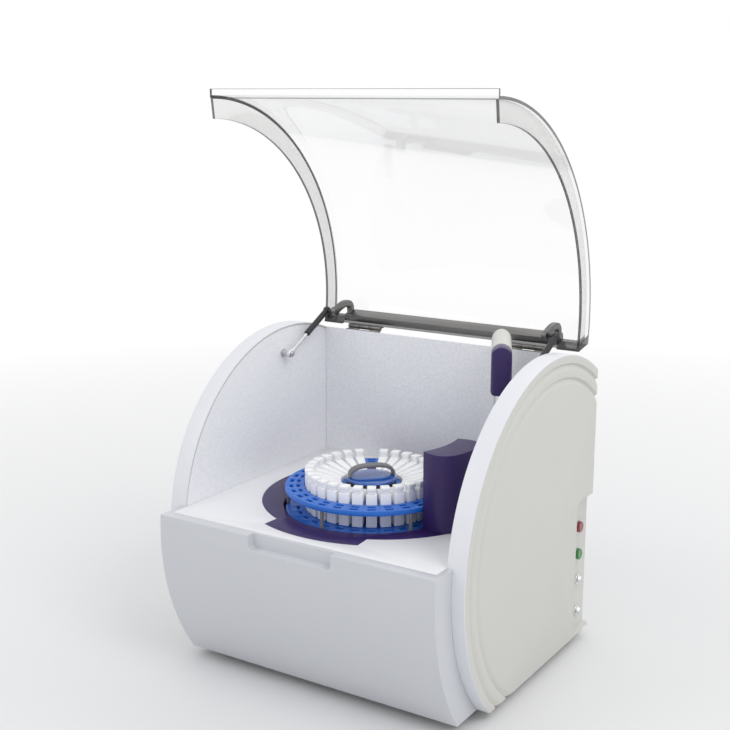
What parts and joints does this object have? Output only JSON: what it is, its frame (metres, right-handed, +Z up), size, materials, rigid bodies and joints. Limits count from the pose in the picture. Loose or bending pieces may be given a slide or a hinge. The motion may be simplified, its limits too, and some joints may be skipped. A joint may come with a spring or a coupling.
{
  "type": "benchtop chemistry analyzer",
  "caption": "Benchtop chemistry analyzer: round-sided housing, clear tilting lid on gas struts, reagent carousel with wedge bottles, photometer block and swinging probe arm.",
  "frame": {"origin": "middle of the footprint at the bench surface, with the lid open", "axes": "+X to the right seen from the front, +Y to the back, +Z up"},
  "size_m": [0.483, 0.4508, 0.8229],
  "materials": {
    "warm_grey_plastic": "moulded, faint texture",
    "cool_white_plastic": "satin moulded",
    "speckled_white": "fine speckled coating",
    "purple_plastic": "satin moulded",
    "blue_plastic": "gloss moulded",
    "bottle_white": "natural polythene",
    "handle_grey": "moulded",
    "bar_metal": "anodised grey",
    "steel": "ground",
    "chrome": "polished",
    "dark_tube": "black enamel",
    "black_rubber": "matt",
    "black_plastic": "moulded",
    "red_plastic": "gloss",
    "green_plastic": "gloss",
    "clear_acrylic": "clear polished",
    "board_green": "solder mask",
    "galvanised_sheet": "zinc plated",
    "brass": "machined"
  },
  "bodies": {
    "housing": {"left_side_cover": "warm_grey_plastic", "right_side_cover": "warm_grey_plastic", "rear_cover": "warm_grey_plastic", "front_cover": "cool_white_plastic", "left_inner_wall": "speckled_white", "right_inner_wall": "speckled_white", "deck_plate": "speckled_white", "chamber_wall": "speckled_white", "carousel_well": "purple_plastic", "photometer_cover": "purple_plastic", "probe_collar": "handle_grey", "left_fixed_leaf": "bar_metal", "right_fixed_leaf": "bar_metal", "left_ball_stud": "steel", "right_ball_stud": "steel", "left_rear_screw": "steel", "right_rear_screw": "steel", "upper_fitting": "chrome", "lower_fitting": "chrome", "front_left_foot": "black_rubber", "front_right_foot": "black_rubber", "rear_left_foot": "black_rubber", "rear_right_foot": "black_rubber", "carousel_motor": "black_plastic", "photometer_module": "black_plastic", "fan_frame": "black_plastic", "power_inlet": "black_plastic", "circuit_board": "board_green", "switch_board": "board_green", "base_pan": "galvanised_sheet", "drive_bracket": "galvanised_sheet", "power_supply": "galvanised_sheet", "carousel_bearing": "brass"},
    "lid": {"lid_sheet": "clear_acrylic", "hinge_bar": "bar_metal", "left_gooseneck": "bar_metal", "right_gooseneck": "bar_metal", "left_moving_leaf": "bar_metal", "right_moving_leaf": "bar_metal"},
    "left_rod": {"left_strut_rod": "chrome"},
    "left_tube": {"left_strut_tube": "dark_tube"},
    "right_rod": {"right_strut_rod": "chrome"},
    "right_tube": {"right_strut_tube": "dark_tube"},
    "carousel": {"lower_disc": "blue_plastic", "upper_disc": "blue_plastic", "carousel_hub": "black_plastic", "hub_cap": "blue_plastic", "carry_handle": "handle_grey", "reagent_bottles": "bottle_white", "carousel_shaft": "steel", "carousel_gear": "brass"},
    "pinion": {"drive_pinion": "steel"},
    "probe_lift": {"probe_carriage": "galvanised_sheet"},
    "probe_arm": {"probe_post": "steel", "arm_shell": "warm_grey_plastic", "arm_cover": "purple_plastic", "probe_needle": "steel"},
    "red_push": {"red_button": "red_plastic"},
    "green_push": {"green_button": "green_plastic"},
    "fan": {"fan_rotor": "black_plastic"}
  },
  "joints": [
    {"name": "lid_hinge", "type": "hinge", "parent": "housing", "child": "lid", "pos_m": [0, 0.1875, 0.448], "axis": [1, 0, 0], "range_deg": [0, 80]},
    {"name": "left_strut_swing", "type": "hinge", "parent": "housing", "child": "left_rod", "pos_m": [-0.2, 0.0575, 0.4216], "axis": [1, 0, 0], "range_deg": [-25.6, 0]},
    {"name": "left_strut_slide", "type": "slide", "parent": "left_rod", "child": "left_tube", "axis": [0, 0.887, 0.4618], "range_m": [-0.0165, 0]},
    {"name": "right_strut_swing", "type": "hinge", "parent": "housing", "child": "right_rod", "pos_m": [0.2, 0.0575, 0.4216], "axis": [1, 0, 0], "range_deg": [-25.6, 0]},
    {"name": "right_strut_slide", "type": "slide", "parent": "right_rod", "child": "right_tube", "axis": [0, 0.887, 0.4618], "range_m": [-0.0165, 0]},
    {"name": "carousel_spin", "type": "hinge", "parent": "housing", "child": "carousel", "pos_m": [0, -0.02, 0.244], "axis": [0, 0, 1], "continuous": true},
    {"name": "pinion_spin", "type": "hinge", "parent": "housing", "child": "pinion", "pos_m": [0, 0.028, 0.195], "axis": [0, 0, 1], "continuous": true},
    {"name": "probe_raise", "type": "slide", "parent": "housing", "child": "probe_lift", "axis": [0, 0, 1], "range_m": [-0.05, 0]},
    {"name": "probe_swing", "type": "hinge", "parent": "probe_lift", "child": "probe_arm", "pos_m": [0.1215, 0.1435, 0.214], "axis": [0, 0, 1], "range_deg": [-75, 0]},
    {"name": "red_button_push", "type": "slide", "parent": "housing", "child": "red_push", "axis": [-1, 0, 0], "range_m": [0, 0.002], "stiffness_N_per_m": 500},
    {"name": "green_button_push", "type": "slide", "parent": "housing", "child": "green_push", "axis": [-1, 0, 0], "range_m": [0, 0.002], "stiffness_N_per_m": 500},
    {"name": "fan_spin", "type": "hinge", "parent": "housing", "child": "fan", "pos_m": [-0.11, 0.2092, 0.304], "axis": [0, 1, 0], "continuous": true}
  ],
  "couplings": [
    {"joint": "left_strut_swing", "follows": "lid_hinge", "ratio": -0.319},
    {"joint": "left_strut_slide", "follows": "lid_hinge", "m_per_rad": -0.01155},
    {"joint": "right_strut_swing", "follows": "lid_hinge", "ratio": -0.319},
    {"joint": "right_strut_slide", "follows": "lid_hinge", "m_per_rad": -0.01155},
    {"joint": "pinion_spin", "follows": "carousel_spin", "ratio": -3}
  ]
}
